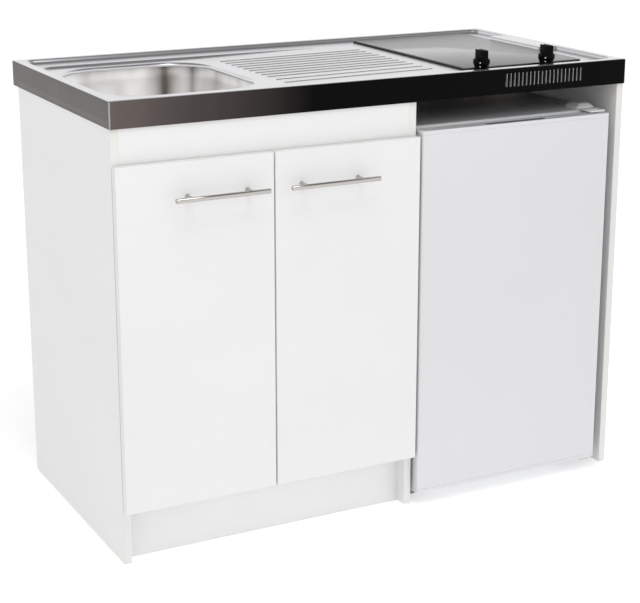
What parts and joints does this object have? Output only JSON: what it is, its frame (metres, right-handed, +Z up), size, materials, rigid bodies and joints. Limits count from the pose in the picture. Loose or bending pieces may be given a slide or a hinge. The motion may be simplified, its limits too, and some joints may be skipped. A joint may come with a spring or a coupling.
{
  "type": "kitchenette unit",
  "caption": "Compact kitchenette: steel worktop with sink, drainer and glass hob over a two-door cabinet and a table-top refrigerator.",
  "frame": {"origin": "on the floor, under the middle of the bounding box of the closed unit", "axes": "+X to the right along the worktop, +Y from the doors to the wall, +Z up"},
  "size_m": [1.2, 0.65, 0.987],
  "materials": {
    "worktop_steel": "fine brushed stainless steel",
    "bowl_steel": "satin stainless steel",
    "waste_steel": "polished stainless steel",
    "black_rubber": "matt black rubber",
    "white_plastic": "matt white plastic",
    "batten_wood": "raw softwood",
    "hob_glass": "black glass-ceramic, opaque from outside",
    "tray_steel": "galvanised sheet steel",
    "heater_fibre": "pressed ceramic fibre",
    "heater_strip": "corrugated heating strip",
    "dark_plastic": "matt dark plastic",
    "knob_plastic": "satin black plastic",
    "bright_steel": "nickel- or zinc-plated steel",
    "white_board": "white melamine-faced chipboard",
    "handle_steel": "brushed stainless steel",
    "white_enamel": "smooth white enamel on sheet steel",
    "insulating_foam": "rigid insulating foam",
    "liner_plastic": "glossy white plastic",
    "freezer_aluminium": "satin aluminium sheet",
    "shelf_glass": "clear float glass",
    "clear_plastic": "clear plastic with a faint tint",
    "black_enamel": "black painted steel",
    "grey_seal": "soft grey magnetic seal"
  },
  "bodies": {
    "unit": {"worktop_sheet": "worktop_steel", "sink_bowl": "bowl_steel", "sink_waste": "waste_steel", "waste_seal": "black_rubber", "waste_nut": "white_plastic", "trap_pipe": "white_plastic", "outlet_pipe": "white_plastic", "worktop_battens": "batten_wood", "hob_glass": "hob_glass", "hob_seal": "black_rubber", "hob_tray": "tray_steel", "heater_dishes": "heater_fibre", "heater_strips": "heater_strip", "regulators": "dark_plastic", "terminal_box": "dark_plastic", "left_side_panel": "white_board", "middle_panel": "white_board", "end_panel": "white_board", "apron_rail": "white_board", "cabinet_floor": "white_board", "plinth_board": "white_board", "rear_rails": "white_board", "glides": "white_plastic", "carcass_screws": "bright_steel", "door_buffers": "grey_seal", "hinge_arms": "bright_steel", "fridge_case": "white_enamel", "fridge_insulation": "insulating_foam", "fridge_liner": "liner_plastic", "freezer_box": "freezer_aluminium", "freezer_flap": "liner_plastic", "glass_shelves": "shelf_glass", "salad_drawer": "clear_plastic", "thermostat_box": "liner_plastic", "fridge_feet": "white_plastic", "compressor": "black_enamel", "compressor_plate": "tray_steel", "condenser_tube": "black_enamel", "condenser_wires": "black_enamel", "top_hinge": "bright_steel", "hinge_cover": "white_plastic", "bottom_hinge": "bright_steel"},
    "left_door_body": {"left_door": "white_board", "left_handle": "handle_steel", "left_hinge_cups": "bright_steel", "left_hinge_pins": "bright_steel"},
    "right_door_body": {"right_door": "white_board", "right_handle": "handle_steel", "right_hinge_cups": "bright_steel", "right_hinge_pins": "bright_steel"},
    "refrigerator_door": {"fridge_door": "white_enamel", "fridge_door_foam": "insulating_foam", "fridge_door_liner": "liner_plastic", "door_gasket": "grey_seal", "door_racks": "clear_plastic"},
    "left_knob_body": {"left_knob": "knob_plastic", "left_spindle": "bright_steel"},
    "right_knob_body": {"right_knob": "knob_plastic", "right_spindle": "bright_steel"},
    "thermostat_body": {"thermostat_dial": "liner_plastic"}
  },
  "joints": [
    {"name": "left_door_hinge", "type": "hinge", "parent": "unit", "child": "left_door_body", "pos_m": [-0.5905, -0.284, 0.472], "axis": [0, 0, 1], "range_deg": [-95, 0]},
    {"name": "right_door_hinge", "type": "hinge", "parent": "unit", "child": "right_door_body", "pos_m": [0.0625, -0.284, 0.472], "axis": [0, 0, 1], "range_deg": [0, 95]},
    {"name": "refrigerator_door_hinge", "type": "hinge", "parent": "unit", "child": "refrigerator_door", "pos_m": [0.54, -0.267, 0.433], "axis": [0, 0, 1], "range_deg": [0, 120]},
    {"name": "left_knob_turn", "type": "hinge", "parent": "unit", "child": "left_knob_body", "pos_m": [0.25, -0.235, 0.95], "axis": [0, 0, 1], "continuous": true},
    {"name": "right_knob_turn", "type": "hinge", "parent": "unit", "child": "right_knob_body", "pos_m": [0.416, -0.235, 0.95], "axis": [0, 0, 1], "continuous": true},
    {"name": "thermostat_turn", "type": "hinge", "parent": "unit", "child": "thermostat_body", "pos_m": [0.485, -0.107, 0.622], "axis": [1, 0, 0], "range_deg": [0, 300]}
  ]
}
